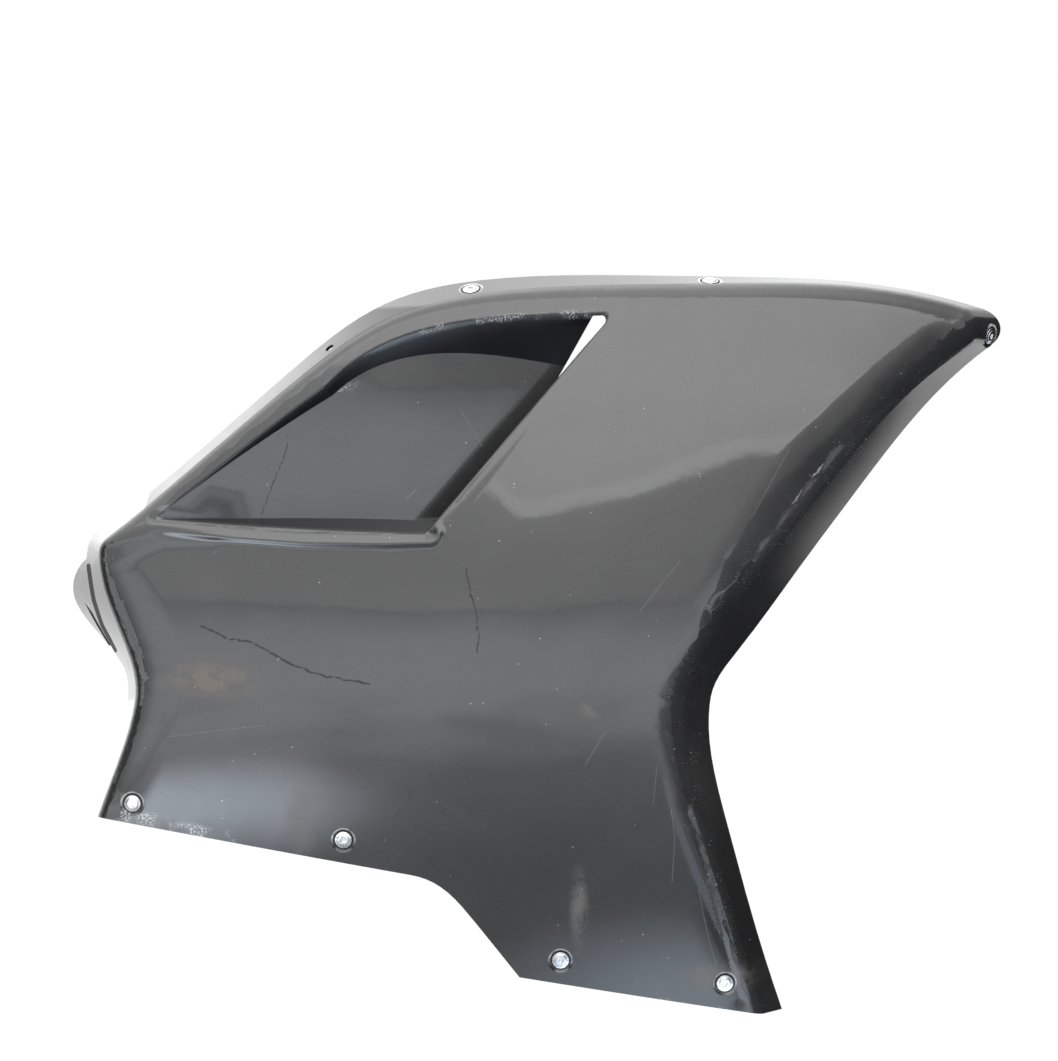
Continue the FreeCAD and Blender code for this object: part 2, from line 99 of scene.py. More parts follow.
class Nodes:
    """Builds one node tree. Each call adds nodes and gives their output."""

    def __init__(self, tree):
        self.made = tree.nodes
        self.links = tree.links

    def add(self, kind, **settings):
        node = self.made.new(kind)
        for key, value in settings.items():
            setattr(node, key, value)
        return node

    def feed(self, socket, value):
        if value is None:
            return
        if hasattr(value, "is_output"):
            self.links.new(value, socket)
        else:
            socket.default_value = value

    def math(self, operation, first, second=None, third=None, clamp=False):
        node = self.add("ShaderNodeMath", operation=operation, use_clamp=clamp)
        for index, value in enumerate((first, second, third)):
            self.feed(node.inputs[index], value)
        return node.outputs[0]

    def product(self, first, *others):
        for other in others:
            first = self.math("MULTIPLY", first, other)
        return first

    def most(self, first, *others):
        for other in others:
            first = self.math("MAXIMUM", first, other)
        return first

    def vector(self, operation, first, second=None):
        node = self.add("ShaderNodeVectorMath", operation=operation)
        self.feed(node.inputs[0], first)
        self.feed(node.inputs[1], second)
        single = operation in ("DOT_PRODUCT", "LENGTH", "DISTANCE")
        return node.outputs["Value" if single else "Vector"]

    def scaled(self, vector, factor):
        node = self.add("ShaderNodeVectorMath", operation="SCALE")
        self.feed(node.inputs[0], vector)
        self.feed(node.inputs["Scale"], factor)
        return node.outputs[0]

    def axes(self, where):
        """The X, Y and Z of a position."""
        node = self.add("ShaderNodeSeparateXYZ")
        self.feed(node.inputs[0], where)
        return node.outputs

    def ramp(self, value, low, high, out_low=0.0, out_high=1.0):
        """A smooth step from out_low at low to out_high at high."""
        node = self.add("ShaderNodeMapRange", interpolation_type="SMOOTHSTEP")
        for index, item in enumerate((value, low, high, out_low, out_high)):
            self.feed(node.inputs[index], item)
        return node.outputs[0]

    def noise(self, where, scale, detail=2.0, rough=0.5, output="Fac"):
        node = self.add("ShaderNodeTexNoise")
        self.feed(node.inputs["Vector"], where)
        node.inputs["Scale"].default_value = scale
        node.inputs["Detail"].default_value = detail
        node.inputs["Roughness"].default_value = rough
        return node.outputs[output]

    def cells(self, where, scale):
        node = self.add("ShaderNodeTexVoronoi")
        self.feed(node.inputs["Vector"], where)
        node.inputs["Scale"].default_value = scale
        return node.outputs["Distance"]

    def mix(self, factor, first, second):
        node = self.add("ShaderNodeMix", data_type="RGBA")
        self.feed(node.inputs[0], factor)
        for socket, value in ((node.inputs[6], first), (node.inputs[7], second)):
            if isinstance(value, tuple):
                value = value + (1.0,)
            self.feed(socket, value)
        return node.outputs[2]

    def stretched(self, where, turn, scale):
        """Coordinates turned about Y by degrees and stretched, for hair scratches."""
        node = self.add("ShaderNodeMapping")
        self.feed(node.inputs["Vector"], where)
        node.inputs["Rotation"].default_value = (0, math.radians(turn), 0)
        node.inputs["Scale"].default_value = scale
        return node.outputs[0]

    def bump(self, height, *sockets):
        node = self.add("ShaderNodeBump")
        node.inputs["Distance"].default_value = 1.0
        self.feed(node.inputs["Height"], height)
        for socket in sockets:
            self.feed(socket, node.outputs[0])


def empty_material(name):
    material = bpy.data.materials.new(name)
    material.use_nodes = True
    material.node_tree.nodes.clear()
    build = Nodes(material.node_tree)
    surface = build.add("ShaderNodeOutputMaterial").inputs["Surface"]
    return material, build, surface


def new_material(name):
    material, build, surface = empty_material(name)
    shader = build.add("ShaderNodeBsdfPrincipled")
    build.feed(surface, shader.outputs[0])
    return material, build, shader


# Lines on the panel, each a run of points in millimetres across X and Z. CRACKS and SCRATCHES
# also give the width of each line.

CRACKS = [
    ([(-222, -29), (-212, -33), (-199, -40), (-186, -40), (-172, -46), (-156, -56), (-140, -63),
      (-122, -69), (-84, -76)], 0.55),
    ([(-5, 19), (-1, 0), (4, -20), (6, -38), (4, -51)], 0.4),
    ([(-152, 129), (-154, 113), (-160, 98), (-171, 72), (-175, 62)], 0.3),
]
SCRATCHES = [
    ([(164, -180), (167, -204), (165, -240)], 0.25),
    ([(152, -143), (149, -176)], 0.2),
    ([(187, -247), (196, -290), (203, -312)], 0.25),
    ([(93, -143), (109, -115)], 0.25),
    ([(138, -16), (156, 7), (171, 25)], 0.25),
    ([(-55, 76), (-47, 84)], 0.5),
    ([(-250, -120), (-170, -110)], 0.18),
    ([(230, 60), (262, 118)], 0.2),
    ([(-10, 150), (8, 120)], 0.2),
]
RAIL = [(-108, 162), (-89, 183), (-64, 202), (-27, 216), (24, 223), (60, 226), (110, 229)]
LIP = [(104, 216), (84, 192), (54, 156), (25, 118), (-7, 79), (-35, 50)]
SILL = [(-35, 48), (-70, 47), (-140, 48), (-220, 54), (-262, 59)]
FRONT_ROLL = [(372, 185), (300, 105), (245, 40), (190, -30), (170, -85), (180, -180), (205, -270),
              (232, -345)]
REAR_CREASE = [(-303, 30), (-298, 9), (-288, -11), (-280, -32), (-273, -52), (-270, -69),
               (-271, -85), (-276, -106), (-288, -137), (-297, -163)]
FRONT_CREASE = [(212, -20), (185, -62), (171, -90), (170, -113), (178, -170), (192, -226),
                (206, -280), (222, -340)]
NOSE_CREASE = [(392, 190), (352, 160), (318, 132), (285, 100), (256, 62), (226, 18), (212, -20)]
# The path of the painted shade that stands in for the slot of the rear tab
TAB_SLOT_SHADE = [(-320, 20), (-316, -8), (-310, -29), (-299, -50)]
TAIL = [(-318, 26), (-285, 44), (-255, 54), (-215, 55)]
FOOT_EDGE = [(-300, -182), (-240, -196), (-200, -204)]
TOE_EDGE = [(150, -343), (200, -352), (236, -360)]

# Worn edges: the path, how far the chips reach from it in metres, and how rare they are
CHIPPED = [(RAIL, 0.0055, 0.50), (FRONT_ROLL, 0.018, 0.625), (FOOT_EDGE, 0.008, 0.50),
           (TOE_EDGE, 0.008, 0.54)]
# Hair scratches: the turn in degrees, the scale of the noise, and how rare they are
HAIRS = [(28, 46, 0.745), (-52, 38, 0.75)]
# Dull scuffs: the centre and the half widths in millimetres across X and Z
SCUFFS = [((-140, -190), (14, 30)), ((88, -262), (8, 34)), ((100, -96), (12, 9)),
          ((-262, -196), (50, 8)), ((205, -322), (40, 14))]
SMEAR_CENTRE = (-0.215, 0, -0.072)
SMEAR_SQUEEZE = (22, 0, 62)
# The outlet's box in metres: the axis, its low end and its high end
OUTLET_BOX = [(0, -0.27, 0.12), (2, 0.030, 0.235)]


def segment_group():
    """A group that gives the distance from a point to one straight segment."""
    tree = bpy.data.node_groups.new("segment_distance", "ShaderNodeTree")
    for name in ("Point", "Start", "End"):
        tree.interface.new_socket(name, in_out="INPUT", socket_type="NodeSocketVector")
    tree.interface.new_socket("Distance", in_out="OUTPUT", socket_type="NodeSocketFloat")
    build = Nodes(tree)
    given = build.add("NodeGroupInput")
    given_out = build.add("NodeGroupOutput")
    point, start, end = given.outputs[0], given.outputs[1], given.outputs[2]
    reach = build.vector("SUBTRACT", end, start)
    away = build.vector("SUBTRACT", point, start)
    along = build.math("DIVIDE", build.vector("DOT_PRODUCT", away, reach),
                       build.vector("DOT_PRODUCT", reach, reach), clamp=True)
    gap = build.vector("SUBTRACT", away, build.scaled(reach, along))
    build.feed(given_out.inputs[0], build.vector("LENGTH", gap))
    return tree


SEGMENT = segment_group()


def line_distance(build, where, points):
    """Distance in metres from a line of points to where."""
    gaps = []
    for start, end in zip(points, points[1:]):
        node = build.add("ShaderNodeGroup", node_tree=SEGMENT)
        build.feed(node.inputs[0], where)
        node.inputs[1].default_value = (start[0] / 1000, 0, start[1] / 1000)
        node.inputs[2].default_value = (end[0] / 1000, 0, end[1] / 1000)
        gaps.append(node.outputs[0])
    nearest = gaps[0]
    for gap in gaps[1:]:
        nearest = build.math("MINIMUM", nearest, gap)
    return nearest


def drawn_lines(build, where, lines, soft):
    """1 in each line and 0 past soft times its width."""
    return build.most(*[build.ramp(line_distance(build, where, points), width * 0.0006,
                                   width * soft, 1.0, 0.0) for points, width in lines])


# Marks in the shell's material: real wear and dirt, and some painted shade and painted highlight.
# Each function gives 1 where its mark is and 0 elsewhere. flat is the position without its Y, and
# shaken is flat with a small wobble.

def flattened(build, axes):
    joined = build.add("ShaderNodeCombineXYZ")
    build.feed(joined.inputs[0], axes[0])
    build.feed(joined.inputs[2], axes[2])
    return joined.outputs[0]


def wobbled(build, flat):
    wobble = build.noise(flat, 160, output="Color")
    shake = build.vector("SUBTRACT", wobble, (0.5, 0.5, 0.5))
    return build.vector("ADD", flat, build.scaled(shake, 0.004))


def scratch_marks(build, flat):
    lines = drawn_lines(build, flat, SCRATCHES, 0.0020)
    patchy = build.ramp(build.noise(flat, 14, 3), 0.45, 0.7, 0.05, 0.5)
    for turn, scale, gate in HAIRS:
        grain = build.noise(build.stretched(flat, turn, (1.0, 1.0, 26.0)), scale, 1.0)
        hair = build.product(build.ramp(grain, gate, gate + 0.03), patchy)
        lines = build.most(lines, hair)
    return lines


def speck_marks(build, flat):
    specks = build.ramp(build.cells(flat, 95), 0.035, 0.075, 1.0, 0.0)
    return build.product(specks, build.ramp(build.noise(flat, 60, 1.0), 0.5, 0.62))


def dust_marks(build, flat):
    dust = build.ramp(build.cells(flat, 310), 0.06, 0.13, 0.35, 0.0)
    return build.product(dust, build.ramp(build.noise(flat, 22, 2.0), 0.42, 0.62))


def chip_marks(build, flat):
    grit = build.noise(flat, 640, 3.0, 0.7)
    patches = build.ramp(build.noise(flat, 55, 1.0), 0.46, 0.6)
    chips = []
    for path, reach, gate in CHIPPED:
        near = build.ramp(line_distance(build, flat, path), reach * 0.3, reach, 1.0, 0.0)
        chips.append(build.product(near, build.ramp(grit, gate, gate + 0.06), patches))
    return build.most(*chips)


def painted_gap_shade(build, place, axes, flat):
    """Painted shade: a dark line for the slot of the rear tab, and a dark ring in the gap round
    each stud.
    """
    slot = build.ramp(line_distance(build, flat, TAB_SLOT_SHADE), 0.0018, 0.0028, 1.0, 0.0)
    gaps = build.product(slot, build.ramp(axes[1], 0.030, 0.034))
    for joint in frame["joints"]:
        out = build.vector("DISTANCE", place, tuple(joint["pos_m"]))
        gaps = build.most(gaps, build.ramp(out, 0.0078, 0.0086, 1.0, 0.0))
    return gaps


def painted_rim_highlight(build, place, axes, flat):
    """A painted highlight on the edge of each seat, brightest above the stud."""
    rim_highlight = 0.0
    for joint in frame["joints"]:
        out = build.vector("DISTANCE", place, tuple(joint["pos_m"]))
        height = joint["pos_m"][2]
        above = build.ramp(axes[2], height - 0.006, height + 0.004)
        ring = build.product(build.ramp(out, 0.0085, 0.0091),
                             build.ramp(out, 0.0098, 0.0107, above, 0.0))
        rim_highlight = build.most(rim_highlight, ring)
    broken = build.ramp(build.noise(flat, 150, 3.0, 0.6), 0.36, 0.56, 0.25, 1.0)
    return build.product(rim_highlight, broken)


def scuff_marks(build, flat, shaken):
    scuffs = []
    for centre, spread in SCUFFS:
        offset = build.vector("SUBTRACT", shaken, (centre[0] / 1000, 0, centre[1] / 1000))
        squeezed = build.vector("MULTIPLY", offset, (1000 / spread[0], 0, 1000 / spread[1]))
        scuffs.append(build.ramp(build.vector("LENGTH", squeezed), 0.2, 1.3, 1.0, 0.0))
    return build.product(build.most(*scuffs),
                         build.ramp(build.noise(flat, 45, 4.0, 0.65), 0.34, 0.58))


def smear_mark(build, flat, shaken):
    offset = build.vector("SUBTRACT", shaken, SMEAR_CENTRE)
    reach = build.vector("LENGTH", build.vector("MULTIPLY", offset, SMEAR_SQUEEZE))
    return build.product(build.ramp(reach, 0.3, 1.2, 0.9, 0.0),
                         build.ramp(build.noise(flat, 70, 3.0), 0.35, 0.6))


def crown_height(build, axes):
    """Depth in metres of the crown at the X and Z of a position."""
    total = 0.0
    for axis, factors in ((0, LENGTH_BEND), (2, HEIGHT_BEND)):
        t = axes[axis]
        curve = build.math("MULTIPLY_ADD", t, factors[1], factors[0])
        total = build.math("MULTIPLY_ADD", build.product(t, t), curve, total)
    return total


def in_outlet(build, axes):
    """1 between the ends and over the height of the outlet, and 0 elsewhere."""
    share = 1.0
    for axis, low, high in OUTLET_BOX:
        for edge, sign in ((low, 1.0), (high, -1.0)):
            inside = build.product(build.math("SUBTRACT", axes[axis], edge), sign)
            share = build.product(share, build.ramp(inside, -0.002, 0.002))
    return share


def painted_wall_shade(build, axes, facing):
    """Painted shade on each wall of the outlet, which is sunk below the crown and turned from the
    front.
    """
    depth = build.math("SUBTRACT", axes[1], crown_height(build, axes))
    steep = build.ramp(facing, 0.93, 0.8)
    return build.product(build.ramp(depth, 0.002, 0.006), steep, in_outlet(build, axes))


def shell_height(build, place):
    """Height in metres of the slow waves, the ripples and the orange peel."""
    height = build.product(build.noise(place, 7.0, 1.0), 0.0012)
    for scale, detail, size in ((46.0, 1.5, 0.00004), (260.0, 2.0, 0.000008)):
        height = build.math("ADD", height, build.product(build.noise(place, scale, detail), size))
    return height


def shell_material():
    material, build, shader = new_material("gloss_black_shell")
    place = build.add("ShaderNodeTexCoord").outputs["Object"]
    axes = build.axes(place)
    flat = flattened(build, axes)
    shaken = wobbled(build, flat)
    normal = build.add("ShaderNodeNewGeometry").outputs["True Normal"]
    facing = build.vector("DOT_PRODUCT", normal, (0.0, -1.0, 0.0))
    # 1 on the outer side and 0 on the inner side, which has no wear and no gloss coat
    outer = build.ramp(facing, -0.12, -0.02)

    cracks = drawn_lines(build, shaken, CRACKS, 0.0022)
    lines = build.product(scratch_marks(build, flat), outer)
    specks = build.product(speck_marks(build, flat), outer)
    dust = build.product(dust_marks(build, flat), outer)
    chips = build.product(chip_marks(build, flat), outer)
    scuffs = build.product(scuff_marks(build, flat, shaken), outer)
    smear = build.product(smear_mark(build, flat, shaken), outer)
    # painted highlight on the edge of each stud seat
    rim_highlight = build.product(painted_rim_highlight(build, place, axes, flat), outer)
    # painted shade in the slot of the rear tab and in the gap round each stud
    gaps = painted_gap_shade(build, place, axes, flat)
    # painted shade on each sunk wall of the outlet
    wall_shade = painted_wall_shade(build, axes, facing)

    haze = build.ramp(build.noise(flat, 5.5, 4.0, 0.55), 0.42, 0.68)
    colour = build.mix(haze, (0.026, 0.026, 0.027), (0.036, 0.036, 0.037))
    for mark, strength, tint in ((smear, 1.0, (0.085, 0.062, 0.045)),
                                 (scuffs, 0.75, (0.15, 0.145, 0.14)),
                                 (chips, 0.85, (0.62, 0.62, 0.62)),
                                 (dust, 0.9, (0.3, 0.3, 0.3)),
                                 # painted highlight on the seat edges
                                 (rim_highlight, 1.0, (0.66, 0.67, 0.68)),
                                 (specks, 0.75, (0.55, 0.55, 0.55)),
                                 (lines, 0.25, (0.3, 0.3, 0.31)),
                                 (cracks, 0.9, (0.004, 0.004, 0.004)),
                                 # painted shade on the outlet's sunk wall, in the tab slot and
                                 # round each stud
                                 (build.most(wall_shade, gaps), 1.0, (0.006, 0.006, 0.008))):
        colour = build.mix(build.product(mark, strength), colour, tint)
    build.feed(shader.inputs["Base Color"], colour)

    rough = build.ramp(build.noise(flat, 9, 5.0, 0.6), 0.35, 0.7, 0.20, 0.30)
    rough = build.math("ADD", rough, build.product(scuffs, 0.25))
    rough = build.math("ADD", rough, build.product(gaps, 0.5))
    rough = build.math("ADD", rough, build.product(lines, 0.2), clamp=True)
    rough = build.most(rough, build.ramp(outer, 0.0, 1.0, 0.48, 0.0))
    build.feed(shader.inputs["Roughness"], rough)

    dull = build.most(build.product(scuffs, 0.6), build.product(cracks, 0.95),
                      build.product(wall_shade, 0.75), build.product(gaps, 0.95))
    coat = build.product(build.math("SUBTRACT", 1.0, dull), outer)
    build.feed(shader.inputs["Coat Weight"], coat)
    shader.inputs["Coat Roughness"].default_value = 0.045
    shader.inputs["Coat IOR"].default_value = 1.5
    shader.inputs["IOR"].default_value = 1.5
    build.bump(shell_height(build, place), shader.inputs["Normal"], shader.inputs["Coat Normal"])
    return material


def metal_material():
    material, build, shader = new_material("worn_bright_metal")
    place = build.add("ShaderNodeTexCoord").outputs["Object"]
    worn = build.ramp(build.noise(place, 420, 4.0, 0.6), 0.42, 0.66)
    pits = build.ramp(build.cells(place, 1300), 0.1, 0.3, 1.0, 0.0)
    colour = build.mix(worn, (0.86, 0.86, 0.87), (0.55, 0.55, 0.56))
    colour = build.mix(build.product(pits, 0.5), colour, (0.16, 0.15, 0.14))
    build.feed(shader.inputs["Base Color"], colour)
    shader.inputs["Metallic"].default_value = 1.0
    build.feed(shader.inputs["Roughness"], build.ramp(worn, 0.0, 1.0, 0.22, 0.42))
    height = build.product(build.math("ADD", worn, pits), -0.00003)
    build.bump(height, shader.inputs["Normal"])
    return material


def washer_material():
    material, build, shader = new_material("matte_washer")
    place = build.add("ShaderNodeTexCoord").outputs["Object"]
    grain = build.noise(place, 900, 3.0)
    build.feed(shader.inputs["Base Color"],
               build.mix(grain, (0.02, 0.02, 0.02), (0.05, 0.05, 0.05)))
    build.feed(shader.inputs["Roughness"], build.ramp(grain, 0.3, 0.7, 0.5, 0.7))
    build.bump(build.product(grain, 0.00004), shader.inputs["Normal"])
    return material


SHELL = shell_material()
METAL = metal_material()
WASHER = washer_material()


# The panel's skin: the CAD shape in two pieces. Its outer face is split finely, so that it
# carries the normals of the crown, of its soft rolls beside the creases, of the soft shoulder at
# the tail and of the bead under the outlet. Its points stay on the CAD shape.

# Each roll: its path, its reach and its drop in metres
ROLLS = [(REAR_CREASE, 0.034, 0.0036), (FRONT_CREASE, 0.024, 0.0030),
         (NOSE_CREASE, 0.034, 0.0036), (SILL, 0.0050, 0.0013), (LIP, 0.012, 0.0013)]
TAIL_WIDTH = 0.012
TAIL_SIZE = 0.0022
BEAD_OFFSET = 0.0080
BEAD_WIDTH = 0.0032
BEAD_SIZE = 0.0014
BEAD_START = -0.270
BEAD_FADE = 0.06
FACE_EDGE = 0.0045
FINE_EDGE = 0.0016
FINE_REACH = 0.014
MOST_HALVINGS = 12
STEP = 0.0001
ON_SURFACE = 0.00035
ALIGNED = 0.95
TURNING_FROM = 0.55
TURNING_DEPTH = 0.014


def path_distance(points, x, z):
    nearest = np.full(len(x), 9.0)
    for start, end in zip(points, points[1:]):
        run_x, run_z = (end[0] - start[0]) / 1000, (end[1] - start[1]) / 1000
        off_x, off_z = x - start[0] / 1000, z - start[1] / 1000
        along = np.clip((off_x * run_x + off_z * run_z) / (run_x ** 2 + run_z ** 2), 0, 1)
        nearest = np.minimum(nearest, np.hypot(off_x - along * run_x, off_z - along * run_z))
    return nearest


def bead(x, z):
    """Height of the bead that runs under the mouth of the outlet."""
    bell = np.exp(-((path_distance(SILL, x, z) - BEAD_OFFSET) / BEAD_WIDTH) ** 2)
    return BEAD_SIZE * bell * np.clip((x - BEAD_START) / BEAD_FADE, 0, 1)


def face_depth(x, z):
    """Depth that the normals of the outer face follow."""
    depth = crown(x, z)
    for path, reach, drop in ROLLS:
        share = np.clip(path_distance(path, x, z) / reach, 0, 1)
        depth = depth + drop * (1 - share) ** 2
    shoulder = np.exp(-(path_distance(TAIL, x, z) / TAIL_WIDTH) ** 2)
    return depth - TAIL_SIZE * shoulder - bead(x, z)


def unit(vectors):
    return vectors / np.linalg.norm(vectors, axis=1)[:, None]


def face_normals(x, z):
    slope_x = (face_depth(x + STEP, z) - face_depth(x - STEP, z)) / (2 * STEP)
    slope_z = (face_depth(x, z + STEP) - face_depth(x, z - STEP)) / (2 * STEP)
    return unit(np.stack([slope_x, -np.ones(len(x)), slope_z], axis=1))


def skin(name, points, faces):
    mesh = bpy.data.meshes.new(name)
    mesh.from_pydata(points, [], faces)
    mesh.materials.append(SHELL)
    piece = bpy.data.objects.new(name, mesh)
    scene.collection.objects.link(piece)
    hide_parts("side_panel")
    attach(piece, "panel")
    return piece


def split_finely(mesh):
    """Halves the long edges of the mesh, and more of them beside the mouth of the outlet."""
    work = bmesh.new()
    work.from_mesh(mesh)
    bmesh.ops.remove_doubles(work, verts=work.verts, dist=1e-6)
    for _ in range(MOST_HALVINGS):
        edges = list(work.edges)
        ends = np.array([(*edge.verts[0].co, *edge.verts[1].co) for edge in edges])
        middle = (ends[:, :3] + ends[:, 3:]) / 2
        beside = np.minimum(path_distance(SILL, middle[:, 0], middle[:, 2]),
                            path_distance(LIP, middle[:, 0], middle[:, 2])) < FINE_REACH
        limit = np.where(beside, FINE_EDGE, FACE_EDGE)
        long = np.linalg.norm(ends[:, 3:] - ends[:, :3], axis=1) > limit
        if not long.any():
            break
        bmesh.ops.subdivide_edges(work, edges=[edge for edge, take in zip(edges, long) if take],
                                  cuts=1, use_grid_fill=False)
        bmesh.ops.triangulate(work, faces=[face for face in work.faces if len(face.verts) > 3])
    work.to_mesh(mesh)
    work.free()


def read_vectors(items, name):
    found = np.zeros(len(items) * 3, np.float32)
    items.foreach_get(name, found)
    return found.reshape(-1, 3)


def dressed_panel():
    mesh = nodes["side_panel"].data
    normals = read_vectors(mesh.corner_normals, "vector")
    points = read_vectors(mesh.vertices, "co").astype(float)
    corners = np.zeros(len(mesh.loops), np.int32)
    mesh.loops.foreach_get("vertex_index", corners)
    x, y, z = points[corners].T
    true = unit(np.stack([slant(LENGTH_BEND, x), -np.ones(len(x)), slant(HEIGHT_BEND, z)], axis=1))
    facing = np.einsum("ij,ij->i", normals, true)
    sunk = y - crown(x, z)

    inner = (np.abs(sunk - WALL) < ON_SURFACE) & (facing < -ALIGNED)
    normals[inner] = -true[inner]
    outer = (np.abs(sunk) < ON_SURFACE) & (facing > ALIGNED)
    outer_face = outer.reshape(-1, 3).all(axis=1)
    turning = (facing > TURNING_FROM) & (sunk < TURNING_DEPTH) & ~outer
    tilt = face_normals(x, z)
    tilt = tilt / -tilt[:, 1:2] - true / -true[:, 1:2]
    share = np.clip((facing - TURNING_FROM) / (1 - TURNING_FROM), 0, 1)[:, None]
    normals[turning] = (normals + tilt * share)[turning]
    normals = unit(normals)

    faces = corners.reshape(-1, 3)
    body = skin("side_panel_body", points, faces[~outer_face].tolist())
    kept = normals.reshape(-1, 3, 3)[~outer_face].reshape(-1, 3)
    body.data.normals_split_custom_set(kept.tolist())
    face = skin("side_panel_face", points, faces[outer_face].tolist())
    split_finely(face.data)
    places = read_vectors(face.data.vertices, "co").astype(float)
    fine = face_normals(places[:, 0], places[:, 2])
    face.data.normals_split_custom_set_from_vertices(fine.tolist())


dressed_panel()


# Each stud: a turned head with a hexagon socket, on a plain shank. SHANK and HEAD give the radius
# and the height in millimetres, from the foot upwards. SOCKET_EDGE gives a share of the hexagon
# and the height, down to the bottom of the socket.

AROUND = 48
SHANK = [(2.2, -13.0), (3.0, -12.2), (3.0, -0.6), (2.9, 0.06)]
HEAD = [(6.5, 0.06), (6.95, 0.25), (7.0, 0.6), (6.85, 0.95), (6.3, 1.15), (5.2, 1.2),
        (4.95, 1.35), (4.75, 1.75), (4.3, 1.95), (3.2, 2.0), (2.7, 2.0)]
SOCKET_WIDTH = 4.0
SOCKET_EDGE = [(1.0, 1.95), (0.94, 1.75), (0.9, 0.4)]
SHARP_ANGLE = 38


def hexagon(angle):
    """Distance from the middle of the socket to its wall, in millimetres."""
    turn = angle % math.radians(60) - math.radians(30)
    return SOCKET_WIDTH / 2 / math.cos(turn)


def stud_rings():
    """Rings of points in millimetres about Z, from the foot to the bottom of the socket."""
    angles = [2 * math.pi * k / AROUND for k in range(AROUND)]
    rings = [([radius] * AROUND, height) for radius, height in SHANK + HEAD]
    rings += [([hexagon(angle) * share for angle in angles], height)
              for share, height in SOCKET_EDGE]
    return [[(radius * math.cos(angle), radius * math.sin(angle), height)
             for radius, angle in zip(radii, angles)] for radii, height in rings]


def turned_stud(name, joint):
    rings = stud_rings()
    points = [point for ring in rings for point in ring]
    faces = []
    for level in range(len(rings) - 1):
        for k in range(AROUND):
            across = (k + 1) % AROUND
            low, high = level * AROUND, (level + 1) * AROUND
            faces.append((low + k, low + across, high + across, high + k))
    last = (len(rings) - 1) * AROUND
    faces.append(tuple(range(last, last + AROUND)))
    faces.append(tuple(reversed(range(AROUND))))
    turn = Vector(joint["axis"]).to_track_quat("Z", "Y")
    seat = Vector(joint["pos_m"])
    mesh = bpy.data.meshes.new(name)
    mesh.from_pydata([seat + turn @ (Vector(point) / 1000) for point in points], [], faces)
    mesh.materials.append(METAL)
    mesh.polygons.foreach_set("use_smooth", [True] * len(mesh.polygons))
    mesh.set_sharp_from_angle(angle=math.radians(SHARP_ANGLE))
    piece = bpy.data.objects.new(name, mesh)
    scene.collection.objects.link(piece)
    return piece


def dress_fasteners():
    joints = {joint["name"]: joint for joint in frame["joints"]}
    for name, node in nodes.items():
        if name.startswith("stud_"):
            place = name[len("stud_"):]
            piece = turned_stud(name + "_turned", joints["turn_" + place])
            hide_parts(name)
            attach(piece, "fastener_" + place)
        elif name.startswith("washer_"):
            for slot in node.material_slots:
                slot.link = "OBJECT"
                slot.material = WASHER


dress_fasteners()


# Floor: white to the camera and a plain grey to the reflections

FLOOR = -0.44
FLOOR_REACH = 12


def square(x, y, reach, z):
    return [(x - reach, y - reach, z), (x + reach, y - reach, z), (x + reach, y + reach, z),
            (x - reach, y + reach, z)]


def pale_stage():
    material, build, surface = empty_material("pale_stage")
    seen = build.add("ShaderNodeLightPath").outputs["Is Camera Ray"]
    paint = build.add("ShaderNodeBsdfDiffuse")
    build.feed(paint.inputs["Color"], build.mix(seen, (0.24, 0.25, 0.27), (0.86, 0.86, 0.86)))
    glow = build.add("ShaderNodeEmission")
    glow.inputs["Color"].default_value = (1, 1, 1, 1)
    blend = build.add("ShaderNodeMixShader")
    build.feed(blend.inputs[0], build.product(seen, 0.9))
    build.feed(blend.inputs[1], paint.outputs[0])
    build.feed(blend.inputs[2], glow.outputs[0])
    build.feed(surface, blend.outputs[0])
    return material


def flat_piece(name, corners, material):
    mesh = bpy.data.meshes.new(name)
    mesh.from_pydata(corners, [], [tuple(range(len(corners)))])
    mesh.materials.append(material)
    piece = bpy.data.objects.new(name, mesh)
    scene.collection.objects.link(piece)
    return piece


floor = flat_piece("floor", square(0, 0, FLOOR_REACH, FLOOR), pale_stage())


# World: plain white to the camera, softly graded to everything else. Each lobe is its aim, the
# cosines where it is full and where it ends, and its strength.

WORLD_BASE = 0.55
LOBES = [((-0.35, -1.0, 0.02), 0.97, 0.72, 0.75), ((-0.64, 0.77, 0.0), 0.95, 0.50, 1.3),
         ((-0.25, -0.35, 0.9), 0.95, 0.55, 1.5), ((-0.35, 0.6, 0.75), 0.95, 0.60, 1.2)]


def studio_world():
    world = bpy.data.worlds.new("studio")
    scene.world = world
    world.use_nodes = True
    world.node_tree.nodes.clear()
    air = Nodes(world.node_tree)
    direction = air.add("ShaderNodeTexCoord").outputs["Generated"]
    level = WORLD_BASE
    for aim, full, end, strength in LOBES:
        closeness = air.vector("DOT_PRODUCT", direction, tuple(Vector(aim).normalized()))
        level = air.math("ADD", level, air.ramp(closeness, end, full, 0.0, strength))
    grey = air.add("ShaderNodeCombineColor")
    for socket in grey.inputs:
        air.feed(socket, level)
    sky = air.add("ShaderNodeBackground")
    air.feed(sky.inputs[0], grey.outputs[0])
    plain = air.add("ShaderNodeBackground")
    plain.inputs[0].default_value = (1, 1, 1, 1)
    both = air.add("ShaderNodeMixShader")
    air.feed(both.inputs[0], air.add("ShaderNodeLightPath").outputs["Is Camera Ray"])
    air.feed(both.inputs[1], sky.outputs[0])
    air.feed(both.inputs[2], plain.outputs[0])
    air.feed(air.add("ShaderNodeOutputWorld").inputs[0], both.outputs[0])


studio_world()


# Studio cards, seen by reflections and not by the camera: pale ones, and black ones of no
# strength that hide what lies behind them. The front card also lights matte surfaces. A fade
# gives a share of a card over its place.

